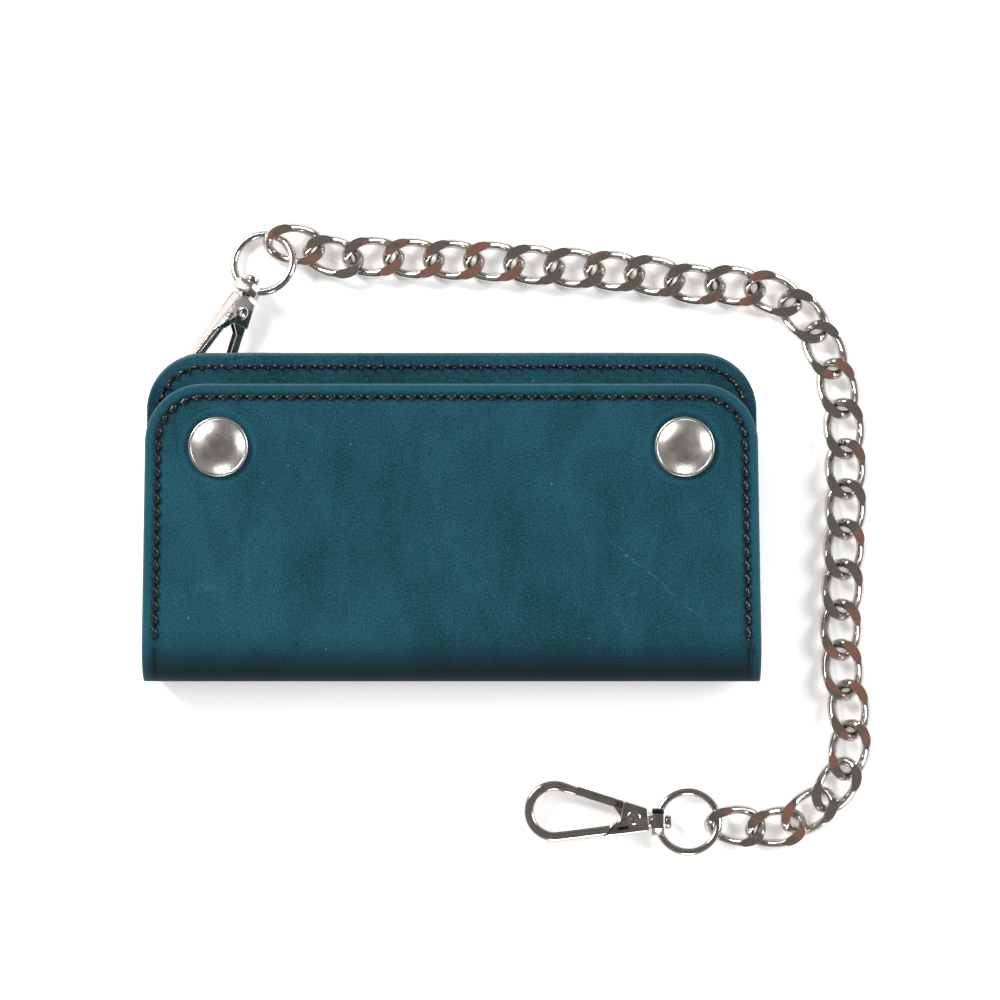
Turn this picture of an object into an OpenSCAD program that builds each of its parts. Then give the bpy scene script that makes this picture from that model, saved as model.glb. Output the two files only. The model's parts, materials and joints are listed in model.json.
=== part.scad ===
// Long leather wallet, folded shut with two snaps, with a curb chain and two swivel snap hooks.
// X runs along the fold, Y towards the opening, Z up. The origin is the middle of the whole
// object's footprint, on the surface that it lies on.

/* [Wallet] */
// Width along the fold
fold_w = 190.5; // [180:0.5:200]
// Width at the start of the rounded top corners
top_w = 188; // [178:0.5:198]
// Length of the front panel, from the fold's centre to its top edge
front_len = 81.3; // [79:0.1:83]
// Length of the back panel, from the fold's centre to its top edge
back_len = 90.2; // [90:0.1:94]
// Radius of the top corners
corner_r = 18; // [14:0.5:20]
// Thickness of the cover's leather
cover_t = 2; // [1.8:0.1:2.2]
// Thickness of the lining's leather
lining_t = 1.2; // [1:0.1:1.4]
// Outer radius of the fold
fold_r = 11; // [10.8:0.1:11.4]
// Slope of the back panel, which leans on the hook under it, in degrees
back_tilt = 11.5; // [11.2:0.1:12]
// Slope of the front panel, in degrees
front_tilt = 2.5; // [2:0.1:3]
// Distance from the wallet's middle to the fold's centre
fold_back = 39.75; // [39:0.05:41]

/* [Stitching] */
// Distance of the seam from the edge
seam_inset = 4; // [3.5:0.1:5]
// Length of one stitch and its gap
stitch_pitch = 4.1; // [3.5:0.1:5]
// Length of the thread seen in one stitch
stitch_len = 3.2; // [2.5:0.1:3.4]
// Width of the thread
thread_w = 1.3; // [0.9:0.1:1.5]

/* [Snaps] */
// Distance of each snap from the wallet's middle
snap_x = 71.5; // [66:0.5:75]
// Distance of the snaps from the fold's centre
snap_y = 62; // [60:0.5:63]
// Diameter of the domed cap
cap_d = 18.6; // [16:0.1:20]
// Height of the domed cap
cap_h = 3.2; // [2.5:0.1:4]

/* [Chain] */
// Half the length of a link's centreline
link_a = 8.3; // [8.2:0.05:8.4]
// Half the width of a link's centreline
link_b = 5.2; // [5.1:0.05:5.3]
// Rise and fall of a link's centreline, its twist
link_h = 2.1; // [2:0.05:2.3]
// Radius of the chain's wire
link_r = 1.55; // [1.4:0.05:1.55]
// Half the thickness of a link between its filed flats
link_flat = 2.5; // [2.3:0.05:2.6]

/* [Hooks] */
// Radius of the ring's centreline
ring_r = 9.4; // [9.2:0.1:9.6]
// Radius of the ring's wire
ring_wire = 1.3; // [1.1:0.05:1.3]
// Outer radius of the hook's eye
eye_r = 9.6; // [9.2:0.1:9.8]
// Width of the hook's bar
bar_w = 3.2; // [2.8:0.1:3.4]
// Depth of the hook's bar and body
bar_depth = 5; // [4.6:0.1:5.2]

/* [Hidden] */
$fn = 48;
wallet_x = -17.5;
wallet_y = 7;
fold_y = -fold_back;
fold_z = fold_r;
inner_r = fold_r - cover_t;
core_r = inner_r - lining_t;
half_gap = 0.15;
eps = 0.02;

// Where each link's centre lies, from the wallet's middle
chain_at = [
    [-49, 84.9], [-37, 81], [-24.5, 81], [-12, 80.5], [0.5, 80], [13, 79.5], [25.5, 78.5],
    [38, 77.5], [50.5, 76.5], [63, 75], [75.5, 72.5], [88, 72], [100, 69.5], [109.5, 62.5],
    [116, 52], [120, 40], [122, 27.5], [122.5, 15], [122.5, 2.5], [122, -10], [121.5, -22.5],
    [121, -35], [121.5, -47.5], [123.5, -60], [123.5, -72.5], [119.5, -83.5], [111, -91.5],
    [100.8, -96.5], [88, -95.8]
];
links = len(chain_at);
// The links that aren't flat on the surface: [number, heading, roll, pitch, height]
chain_lean = [[0, -6, 5.9, 6.8, 3.4], [1, -13.4, 2, -0.3, 2.75], [2, 0, 0, 0, 2.52],
    [26, -145, 0, 0, 2.52], [27, -172.4, -1.4, 1.1, 2.77], [28, 174, -10.2, -3.6, 3.35]];

// Where each hook's swivel barrel is, and how the hook and its ring are turned
hook_at = [[-63.5, 71, 5.8], [64, -94.7, 3.45]];
hook_yaw = [-121, 180];
hook_rise = [8, -0.4];
hook_roll = [-39, 180];
ring_roll = [18, 7];

link_names = [for (k = [1:links]) str("link_", k < 10 ? "0" : "", k)];

leather = [0.09, 0.30, 0.37];
thread = [0.05, 0.07, 0.09];
satin = [0.72, 0.71, 0.70];
nickel = [0.80, 0.80, 0.79];
brass = [0.70, 0.58, 0.32];
cloth = [0.12, 0.12, 0.13];

// ---- frames ----
module in_place() translate([wallet_x, wallet_y, 0]) children();
module in_back() in_place() translate([0, fold_y, fold_z]) rotate([back_tilt, 0, 0]) children();
module in_front() in_place() translate([0, fold_y, fold_z]) rotate([front_tilt, 0, 0]) children();
module at_snaps() for (side = [-1, 1]) translate([side * snap_x, snap_y, 0]) children();
module in_hook(k) in_place() translate(hook_at[k]) rotate([0, 0, hook_yaw[k]])
    rotate([0, -hook_rise[k], 0]) rotate([hook_roll[k], 0, 0]) children();
module in_ring(k) in_place() translate(hook_at[k]) rotate([0, 0, hook_yaw[k]])
    rotate([0, -hook_rise[k], 0]) rotate([ring_roll[k], 0, 0]) children();

// ---- leather panels ----
function half_width(y, len) = (fold_w + (top_w - fold_w) * max(0, y) / (len - corner_r)) / 2;

// A panel's outline: straight sides that close in a little, and two round top corners
module outline(len, inset = 0) {
    w0 = fold_w / 2 - inset;
    w1 = top_w / 2 - inset;
    r = corner_r - inset;
    y1 = len - corner_r;
    polygon([[-w0, 0], [w0, 0], [w1, y1], [-w1, y1]]);
    translate([r - w1, 0]) square([2 * (w1 - r), len - inset]);
    for (side = [-1, 1]) translate([side * (w1 - r), y1]) circle(r, $fn = 96);
}

module panel(len, z, t, inset = 0) translate([0, 0, z]) linear_extrude(t) outline(len, inset);

// About a quarter of the fold, between two angles about the fold's centre
module fold_arc(r, t, a0, a1, inset = 0)
    translate([inset - fold_w / 2, 0, 0]) rotate([90, 0, 90]) linear_extrude(fold_w - 2 * inset)
    intersection() {
        difference() {
            circle(r, $fn = 96);
            circle(r - t, $fn = 96);
        }
        polygon([[0, 0], 3 * r * [cos(a0), sin(a0)], 3 * r * [cos((a0 + a1) / 2),
            sin((a0 + a1) / 2)], 3 * r * [cos(a1), sin(a1)]]);
    }

split = asin(half_gap / fold_r);

module back_layer(r, t, inset) difference() {
    in_back() {
        panel(back_len, -r, t, inset);
        fold_arc(r, t, 180 + split - back_tilt, 270, inset);
    }
    in_back() at_snaps() cylinder(d = 3, h = 3 * fold_r, center = true);
    in_back() translate(tab_rivet_at) cylinder(d = 3, h = 3 * fold_r, center = true);
}

module front_layer(r, t, inset) difference() {
    in_front() {
        panel(front_len, r - t, t, inset);
        fold_arc(r, t, 90, 180 - split - front_tilt, inset);
    }
    in_front() at_snaps() cylinder(d = 3, h = 3 * fold_r, center = true);
}

module cover_back() color(leather) back_layer(fold_r, cover_t, 0);
module cover_front() color(leather) front_layer(fold_r, cover_t, 0);
module lining_back() color(leather * 0.8) back_layer(inner_r, lining_t, 0.4);
module lining_front() color(leather * 0.8) front_layer(inner_r, lining_t, 0.4);

// ---- stitching ----
// The seam runs up one side, round a corner, along the top and down the other side
function seam_at(s, len) =
    let (r = corner_r - seam_inset, up = len - corner_r - 3, arc = PI * r / 2,
         across = top_w - 2 * corner_r, w = top_w / 2 - seam_inset, y1 = len - corner_r)
    s < up ? [seam_inset - half_width(3 + s, len), 3 + s, 90] :
    s < up + arc ? let (a = 180 - (s - up) / r * 180 / PI)
        [r * cos(a) - w + r, y1 + r * sin(a), a - 90] :
    s < up + arc + across ? [s - up - arc - across / 2, len - seam_inset, 0] :
    s < up + 2 * arc + across ? let (a = 90 - (s - up - arc - across) / r * 180 / PI)
        [w - r + r * cos(a), y1 + r * sin(a), a - 90] :
    let (y = y1 - (s - up - 2 * arc - across)) [half_width(y, len) - seam_inset, y, -90];
function seam_length(len) = 2 * (len - corner_r - 3) + PI * (corner_r - seam_inset)
    + top_w - 2 * corner_r;

module seam(len, z) {
    count = floor(seam_length(len) / stitch_pitch);
    step = seam_length(len) / count;
    for (i = [0:count - 1]) {
        p = seam_at((i + 0.5) * step, len);
        translate([p[0], p[1], z]) rotate([0, 0, p[2] + 8])
            cube([stitch_len, thread_w, thread_rise], center = true);
    }
}
thread_rise = 0.5;

module stitching_back() color(thread) in_back() {
    seam(back_len, -fold_r - thread_rise / 2);
    seam(back_len, -core_r + thread_rise / 2);
}
module stitching_front() color(thread) in_front() {
    seam(front_len, fold_r + thread_rise / 2);
    seam(front_len, core_r - thread_rise / 2);
}

// ---- snaps ----
module snap_caps() color(satin) in_front() at_snaps() {
    dome_r = (cap_d * cap_d / 4 + (cap_h - 1) * (cap_h - 1)) / (2 * (cap_h - 1));
    translate([0, 0, fold_r]) cylinder(d = cap_d, h = 1);
    intersection() {
        translate([0, 0, fold_r + cap_h - dome_r]) sphere(dome_r, $fn = 96);
        translate([0, 0, fold_r + 1]) cylinder(d = cap_d, h = cap_h);
    }
    translate([0, 0, core_r - 0.2]) cylinder(d = 3, h = fold_r - core_r + 0.2 + eps);
}

socket_h = 2.4;
module snap_sockets() color(satin) in_front() at_snaps() translate([0, 0, core_r]) mirror([0, 0, 1])
    difference() {
        cylinder(d = 11, h = socket_h);
        translate([0, 0, -1]) cylinder(d = 3, h = 1.5 + 1);
        translate([0, 0, 0.5]) cylinder(d = 5.2, h = socket_h);
    }

stud_h = 4.4;
module snap_studs() color(satin) in_back() at_snaps() translate([0, 0, -core_r]) difference() {
    union() {
        cylinder(d = 9, h = 0.7);
        cylinder(d = 3.2, h = stud_h - 1.2);
        translate([0, 0, stud_h - 2]) sphere(2, $fn = 48);
    }
    translate([0, 0, -1]) cylinder(d = 1.8, h = 3);
}

module snap_posts() color(satin) in_back() at_snaps() {
    translate([0, 0, -fold_r - 0.7]) cylinder(d = 9, h = 0.7);
    translate([0, 0, -fold_r - eps]) cylinder(d = 3, h = fold_r - core_r + eps);
    translate([0, 0, -core_r - eps]) cylinder(d = 1.8, h = 1.8);
}

// ---- inside ----
pocket_w = 176;
module flat_piece(w, y0, y1, z, t, r = 3) translate([-w / 2, y0, z]) linear_extrude(t) {
    translate([0, 0]) square([w, y1 - y0 - r]);
    translate([r, 0]) square([w - 2 * r, y1 - y0]);
    for (x = [r, w - r]) translate([x, y1 - y0 - r]) circle(r);
}

divider_t = 0.9;
module bill_divider() color(leather * 0.7) in_back()
    flat_piece(pocket_w, 2, 78 - 24, -core_r, divider_t);

// The zip pocket's panel lies over the divider, with a window for the zip
zip_y = 40;
zip_len = 150;
zip_window = 9;
tape_t = 0.5;
pocket_t = 1.1;
tape_z = -core_r + divider_t;
teeth_w = 3.2;
teeth_h = 1.2;
module zip_pocket() color(leather * 0.75) in_back() difference() {
    flat_piece(pocket_w, 2, 50, tape_z + tape_t, pocket_t);
    translate([-zip_len / 2, zip_y - zip_window / 2, tape_z]) cube([zip_len, zip_window, 4]);
}
module zip_tape() color(cloth) in_back()
    translate([-zip_len / 2 - 5, zip_y - 8, tape_z]) cube([zip_len + 10, 16, tape_t]);
module zip_teeth() color(brass) in_back() for (i = [0:59])
    translate([(i - 29.5) * 2.4, zip_y + (i % 2 == 0 ? 0.35 : -0.35), tape_z + tape_t])
        translate([-0.8, -teeth_w / 2, 0]) cube([1.6, teeth_w, teeth_h]);
slider_x = -66;
module zip_slider() color(nickel) in_back() translate([slider_x, zip_y, tape_z + tape_t + 0.1])
    difference() {
        union() {
            translate([-4.5, -3.6, 0]) cube([9, 7.2, 2.4]);
            translate([-2.5, -0.7, 2.4 - eps]) cube([5, 1.4, 1.6]);
        }
        translate([-5, -teeth_w / 2 - 0.7, -1]) cube([10, teeth_w + 1.4, teeth_h + 1.2]);
        translate([0, 2, 3.1]) rotate([90, 0, 0]) cylinder(d = 0.9, h = 4);
    }
module zip_pull() color(nickel) in_back() translate([slider_x, zip_y, tape_z + tape_t + 3.2]) {
    rotate([90, 0, 0]) cylinder(d = 0.8, h = 3, center = true);
    for (side = [-1, 1]) translate([0, side * 1.4 - 0.4, -0.4]) cube([12, 0.8, 0.8]);
    translate([11.9, -2.2, -0.4]) cube([8, 4.4, 0.8]);
}

card_t = 0.8;
module card_slots() color(leather * 0.7) in_front() for (k = [0:2])
    flat_piece(pocket_w, 4, 52 - 10 * k, core_r - card_t * (k + 1) - k * 0.02, card_t);

// ---- D-ring on its tab, under the back panel ----
tab_x = -83;
tab_y = 68;
tab_w = 9.6;
tab_t = 1.2;
d_wire = 1.25;
d_r = 8;
d_leg = 3.7;
d_drop = 26;
tab_loop = d_wire + 0.15 + tab_t;
tab_len = 22;
tab_rivet_at = [tab_x, tab_y - 16, 0];

module ring_tab() color(leather * 0.85) in_back() difference() {
    translate([tab_x - tab_w / 2, tab_y, -fold_r - tab_loop]) rotate([90, 0, 90])
        linear_extrude(tab_w) difference() {
            union() {
                circle(tab_loop);
                translate([-tab_len, tab_loop - tab_t]) square([tab_len, tab_t]);
                polygon([[0, -tab_loop], [-8, tab_loop - 2 * tab_t], [-tab_len, tab_loop - 2 * tab_t],
                    [-tab_len, tab_loop - tab_t], [-8, tab_loop - tab_t], [0, tab_t - tab_loop]]);
            }
            circle(tab_loop - tab_t);
        }
    translate(tab_rivet_at) cylinder(d = 3, h = 3 * fold_r, center = true);
}

module tab_rivet() color(satin) in_back() translate(tab_rivet_at) {
    translate([0, 0, -fold_r - 2 * tab_t - 0.8]) cylinder(d = 7, h = 0.8);
    translate([0, 0, -fold_r - 2 * tab_t - eps]) cylinder(d = 3, h = 2 * tab_t + fold_r - core_r + eps);
}

module d_ring() color(nickel) in_back() translate([tab_x, tab_y, -fold_r - tab_loop])
    rotate([-d_drop, 0, 0]) {
        translate([0, d_leg, 0]) rotate_extrude(angle = 180) translate([d_r, 0]) circle(d_wire);
        for (side = [-1, 1]) translate([side * d_r, 0, 0]) rotate([-90, 0, 0])
            cylinder(r = d_wire, h = d_leg);
        rotate([0, 90, 0]) cylinder(r = d_wire, h = 2 * d_r, center = true);
        for (side = [-1, 1]) translate([side * d_r, 0, 0]) sphere(d_wire);
    }

// ---- snap hooks: x runs from the swivel barrel to the eye, y towards the gate ----
eye_at = [32.2, 3.4];
gate_slope = 17.5;
spine_slope = 7;
pivot = [7.6, 1.4];
gate_tip = 24.9;
gate_w = 2.8;
cheek = 0.6;
post_r = 1.7;
barrel_len = 3.9;
top_tangent = eye_at + eye_r * [-sin(gate_slope), cos(gate_slope)];
low_tangent = eye_at - eye_r * [sin(spine_slope), cos(spine_slope)];
function on_gate(x) = [x, top_tangent[1] - (top_tangent[0] - x) * tan(gate_slope)];
function on_spine(x) = [x, low_tangent[1] + (low_tangent[0] - x) * tan(spine_slope)];
gate_in = gate_w * [sin(gate_slope), -cos(gate_slope)];
spine_in = bar_w * [sin(spine_slope), cos(spine_slope)];

module hook_outline() {
    // eye: the half turn away from the barrel, from the spine round to the nose
    intersection() {
        difference() {
            translate(eye_at) circle(eye_r, $fn = 96);
            translate(eye_at) circle(eye_r - bar_w, $fn = 96);
        }
        polygon([eye_at, low_tangent - 5 * [0, 1], eye_at + [30, -30], eye_at + [30, 30],
            top_tangent + 5 * [0, 1]]);
    }
    // nose
    polygon([top_tangent, on_gate(gate_tip + 0.4), on_gate(gate_tip + 0.4) + gate_in,
        eye_at + (eye_r - bar_w) * [-sin(gate_slope), cos(gate_slope)] + [1, 0.3]]);
    // spine
    polygon([on_spine(3), low_tangent + [0.6, -0.02], low_tangent + spine_in + [0.6, 0],
        on_spine(12) + spine_in]);
    // body
    polygon([on_spine(2.7), [3.2, 4.2], [10.8, 6.6], [11.4, 0.6], [14.5, -1],
        on_spine(16)]);
}

module hook_body(k) color(nickel) in_hook(k) difference() {
    union() {
        linear_extrude(bar_depth, center = true) hook_outline();
        translate([2.05, 0, 0]) rotate([0, 90, 0]) cylinder(r = 2.4, h = 1.2);
        translate([-2.6, 0, 0]) rotate([0, 90, 0]) cylinder(r = post_r, h = 6);
        translate([-4.2, 0, 0]) rotate([0, 90, 0]) cylinder(r = 2.3, h = 1.9);
    }
    // slot for the gate
    linear_extrude(2 * gate_half + 0.2, center = true)
        polygon([[4.3, -1.7], [12.4, -1.7], [14, 0.5], [14, 9], [4.3, 9]]);
    translate([pivot[0], pivot[1], 0]) cylinder(d = 2.2, h = 9, center = true);
}
gate_half = 1.5;

module gate_outline(d = 0) {
    polygon([on_gate(pivot[0] + 2.6 + d) - [0, d], on_gate(gate_tip - d) - [0, d],
        on_gate(gate_tip - d) + gate_in * (1 - d / gate_w), on_gate(12) + gate_in * (1 - d / gate_w),
        pivot + [2.2 - d, -1.8 + d], pivot + [-1, 2.4 - d]]);
    translate(pivot) circle(2.8 - d);
}

module hook_gate(k) color(nickel) in_hook(k) difference() {
    linear_extrude(2 * gate_half, center = true) gate_outline();
    difference() {
        linear_extrude(2 * (gate_half - cheek), center = true) union() {
            gate_outline(0.7);
            translate(pivot) circle(3.2);
        }
        linear_extrude(4, center = true) polygon([on_gate(11), on_gate(gate_tip),
            on_gate(gate_tip) + 0.3 * gate_in, on_gate(11) + 0.3 * gate_in]);
    }
    translate([pivot[0], pivot[1], 0]) cylinder(d = 2.3, h = 9, center = true);
}

module hook_pin(k) color(nickel) in_hook(k) translate([pivot[0], pivot[1], 0]) {
    cylinder(d = 2.2, h = bar_depth, center = true);
    for (side = [-1, 1]) translate([0, 0, side * (bar_depth / 2 + 0.2)])
        cylinder(d = 4.2, h = 0.4, center = true);
}

// Torsion spring: three turns of fine wire round the pin
spring_r = 1.55;
spring_wire = 0.22;
spring_turns = 3;
function coil_point(i, n) = let (a = 360 * spring_turns * i / n)
    [spring_r * cos(a), spring_r * sin(a), (i / n - 0.5) * 1.25];
function ring_of(c, a, r, sides) = [for (j = [0:sides - 1]) let (b = 360 * j / sides)
    c + r * [cos(b) * cos(a), cos(b) * sin(a), sin(b)]];
function tube_faces(n, m) = concat(
    [for (i = [0:n - 2], j = [0:m - 1]) [i * m + j, i * m + (j + 1) % m, (i + 1) * m + j]],
    [for (i = [0:n - 2], j = [0:m - 1])
        [i * m + (j + 1) % m, (i + 1) * m + (j + 1) % m, (i + 1) * m + j]],
    [[for (j = [m - 1:-1:0]) j]], [[for (j = [0:m - 1]) (n - 1) * m + j]]);

module hook_spring(k) color(nickel) in_hook(k) translate([pivot[0], pivot[1], 0]) {
    n = 42;
    sides = 6;
    points = [for (i = [0:n - 1])
        each ring_of(coil_point(i, n - 1), 360 * spring_turns * i / (n - 1), spring_wire, sides)];
    polyhedron(points, tube_faces(n, sides), convexity = 10);
}

module ring(k) color(nickel) in_ring(k) difference() {
    union() {
        translate([-ring_r, 0, 0]) rotate_extrude($fn = 96) translate([ring_r, 0]) circle(ring_wire);
        translate([-barrel_len / 2, 0, 0]) rotate([90, 0, 90]) linear_extrude(barrel_len)
            polygon([[-4.2, -1.6], [-2.2, -3.2], [2.2, -3.2], [4.2, -1.6], [4.2, 1.6], [2.2, 3.2],
                [-2.2, 3.2], [-4.2, 1.6]]);
    }
    translate([-3.2, 0, 0]) rotate([0, 90, 0]) cylinder(r = post_r + 0.05, h = 6.4);
}

// ---- chain ----
link_rings = 24;
link_sides = 8;
link_corner = 1.04 * link_r;
function link_centre(t) = [link_a * cos(t), link_b * sin(t), -link_h * sin(2 * t)];
function link_along(t) = [-link_a * sin(t), link_b * cos(t), -2 * link_h * cos(2 * t)];
function unit(v) = v / norm(v);
function clamp_z(p) = [p[0], p[1], max(-link_flat, min(link_flat, p[2]))];
function link_section(t) = let (along = unit(link_along(t)),
    up = unit([0, 0, 1] - along * along[2]), side = cross(along, up))
    [for (j = [0:link_sides - 1]) let (b = 360 * (j + 0.5) / link_sides)
        clamp_z(link_centre(t) + link_corner * (cos(b) * side + sin(b) * up))];
link_points = [for (i = [0:link_rings - 1]) each link_section(360 * i / link_rings)];
link_faces = [for (i = [0:link_rings - 1], j = [0:link_sides - 1])
    let (a = i * link_sides, b = (i + 1) % link_rings * link_sides, k = (j + 1) % link_sides)
    each [[a + j, a + k, b + j], [a + k, b + k, b + j]]];

// A link points from the one before it to the one after it, and lies flat unless chain_lean has it
function chain_turn(k) = let (v = chain_at[k + 1] - chain_at[k - 1]) [atan2(v[1], v[0]), 0, 0, link_flat];
function lean(k) = let (found = [for (row = chain_lean) if (row[0] == k) row])
    len(found) > 0 ? [for (i = [1:4]) found[0][i]] : chain_turn(k);

module link(k) color(nickel) in_place() translate([chain_at[k][0], chain_at[k][1], lean(k)[3]])
    rotate([0, 0, lean(k)[0]]) rotate([0, lean(k)[2], 0]) rotate([lean(k)[1], 0, 0])
        polyhedron(link_points, link_faces, convexity = 6);

cover_back();
cover_front();
lining_back();
lining_front();
stitching_back();
stitching_front();
snap_caps();
snap_sockets();
snap_studs();
snap_posts();
bill_divider();
card_slots();
zip_pocket();
zip_tape();
zip_teeth();
zip_slider();
zip_pull();
ring_tab();
tab_rivet();
d_ring();
for (k = [0, 1]) {
    hook_body(k);
    hook_gate(k);
    hook_pin(k);
    hook_spring(k);
    ring(k);
}
for (k = [0:links - 1])
    link(k);
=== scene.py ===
"""A long leather wallet with a curb chain and two swivel snap hooks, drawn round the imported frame.

Shapes are worked out in millimetres, in the frame of the thing that they belong to, and are put in
place as they become meshes, in metres. Places and turns come from the frame's joints and nodes.
"""

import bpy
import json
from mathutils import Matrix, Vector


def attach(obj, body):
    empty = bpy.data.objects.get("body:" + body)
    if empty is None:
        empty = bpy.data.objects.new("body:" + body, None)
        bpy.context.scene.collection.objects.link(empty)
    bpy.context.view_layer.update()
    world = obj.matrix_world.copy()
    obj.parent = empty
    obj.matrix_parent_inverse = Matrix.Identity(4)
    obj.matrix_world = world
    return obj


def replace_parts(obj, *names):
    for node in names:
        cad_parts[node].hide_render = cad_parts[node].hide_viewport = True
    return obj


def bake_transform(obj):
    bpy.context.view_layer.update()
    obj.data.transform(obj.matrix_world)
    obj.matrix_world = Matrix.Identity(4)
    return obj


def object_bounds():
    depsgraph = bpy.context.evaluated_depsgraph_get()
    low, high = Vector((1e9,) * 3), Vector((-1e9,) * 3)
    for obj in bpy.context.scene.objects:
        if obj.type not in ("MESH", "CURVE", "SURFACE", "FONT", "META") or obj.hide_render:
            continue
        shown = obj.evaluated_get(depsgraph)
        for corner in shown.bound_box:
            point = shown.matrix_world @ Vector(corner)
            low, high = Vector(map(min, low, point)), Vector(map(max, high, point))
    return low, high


bl_info = {
    "name": "Chain wallet",
    "version": (1, 0, 0),
    "blender": (4, 5, 0),
    "location": "3D View > Sidebar > Wallet",
    "description": "Builds a long leather wallet with its chain, hooks and studio",
    "category": "Add Mesh",
}

import json

import bmesh
import bpy
import numpy as np
from mathutils import Vector

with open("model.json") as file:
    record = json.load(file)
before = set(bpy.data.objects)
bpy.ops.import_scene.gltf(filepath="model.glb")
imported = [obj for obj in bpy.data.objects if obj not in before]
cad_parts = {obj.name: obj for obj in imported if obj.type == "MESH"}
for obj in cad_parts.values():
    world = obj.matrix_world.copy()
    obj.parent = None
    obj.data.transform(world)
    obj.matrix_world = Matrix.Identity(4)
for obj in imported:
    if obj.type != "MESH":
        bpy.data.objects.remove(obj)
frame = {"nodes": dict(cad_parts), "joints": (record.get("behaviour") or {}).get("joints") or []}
CAD_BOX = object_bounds()
JOINTS = {j["name"]: j for j in frame["joints"]}
MM = 0.001
TAU = 2 * np.pi


# ---- places, from the frame ----
def unit(v):
    """Each vector, or one, at length 1."""
    v = np.asarray(v, float)
    return v / np.linalg.norm(v, axis=-1, keepdims=True)


def frame_of(x, y, z, origin):
    """A place as four columns: the three axes and the origin."""
    return np.column_stack([x, y, z, origin])


def place(points, where):
    """Local points, put where a place's axes and origin say."""
    return np.asarray(points, float) @ where[:, :3].T + where[:, 3]


def local(points, where):
    """Points in a place's own axes."""
    return (np.asarray(points, float) - where[:, 3]) @ where[:, :3]


def node_points(node):
    """A CAD node's vertices, in millimetres."""
    mesh = frame["nodes"][node].data
    flat = np.empty(len(mesh.vertices) * 3, np.float32)
    mesh.vertices.foreach_get("co", flat)
    return flat.reshape(-1, 3).astype(float) / MM


def widest_facet(node, side):
    """The normal of a CAD node's largest facet on its upper (side 1) or lower (side -1) face."""
    best = max(
        (p for p in frame["nodes"][node].data.polygons if p.normal.z * side > 0.5),
        key=lambda p: p.area,
    )
    return np.array(best.normal)


def main_axes(points):
    """The centre of a cloud of points, and the axes along which it spreads most, less and least."""
    centre = (points.min(0) + points.max(0)) / 2
    centre = points.mean(0) if np.abs(points.mean(0) - centre).max() < 0.5 else centre
    _, axes = np.linalg.eigh(np.cov((points - centre).T))
    long_axis, cross_axis = axes[:, 2], axes[:, 1]
    up = np.cross(long_axis, cross_axis)
    if up[2] < 0:
        cross_axis, up = -cross_axis, -up
    return frame_of(long_axis, cross_axis, up, centre)


HINGE = np.array(JOINTS["cover_fold"]["pos_m"]) / MM
FOLD_R = HINGE[2]
FOLD_CENTRE = HINGE + np.array([0, FOLD_R, 0])
X_AXIS, Z_AXIS = np.array([1.0, 0, 0]), np.array([0, 0, 1.0])


def panel_place(normal):
    """A panel's place: x along the fold, y towards the panel's free edge, z up through it."""
    return frame_of(X_AXIS, np.cross(normal, X_AXIS), normal, FOLD_CENTRE)


BACK = panel_place(-widest_facet("cover_back", -1))
FRONT = panel_place(widest_facet("cover_front", 1))
BACK_LEN = local(node_points("cover_back"), BACK)[:, 1].max()
FRONT_LEN = local(node_points("cover_front"), FRONT)[:, 1].max()
FOLD_W = np.ptp(node_points("cover_back")[:, 0])


def hook_place(k):
    """Hook k's place: x from the swivel barrel to the eye, y towards the gate, z across."""
    swivel, gate = JOINTS[f"swivel_{k}"], JOINTS[f"gate_{k}_open"]
    origin, z = np.array(swivel["pos_m"]) / MM, -unit(gate["axis"])
    x = unit(swivel["axis"])
    x = x * np.sign((np.array(gate["pos_m"]) / MM - origin) @ x)
    return frame_of(x, np.cross(z, x), z, origin)


def ring_place(k):
    """Ring k's place: x along the hook, and z across the ring."""
    hook = hook_place(k)
    across = main_axes(node_points(f"ring_{k}"))[:, 2]
    return frame_of(hook[:, 0], unit(np.cross(across, hook[:, 0])), across, hook[:, 3])


# ---- mesh making ----
def grid_faces(rows, cols, wrap_rows=False, wrap_cols=False, start=0):
    """The quads of a grid of points, numbered row by row, that may close on itself each way."""
    index = np.arange(rows * cols).reshape(rows, cols) + start
    if wrap_rows:
        index = np.vstack([index, index[:1]])
    if wrap_cols:
        index = np.hstack([index, index[:, :1]])
    return np.stack(
        [index[:-1, :-1], index[1:, :-1], index[1:, 1:], index[:-1, 1:]], -1
    ).reshape(-1, 4)


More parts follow.
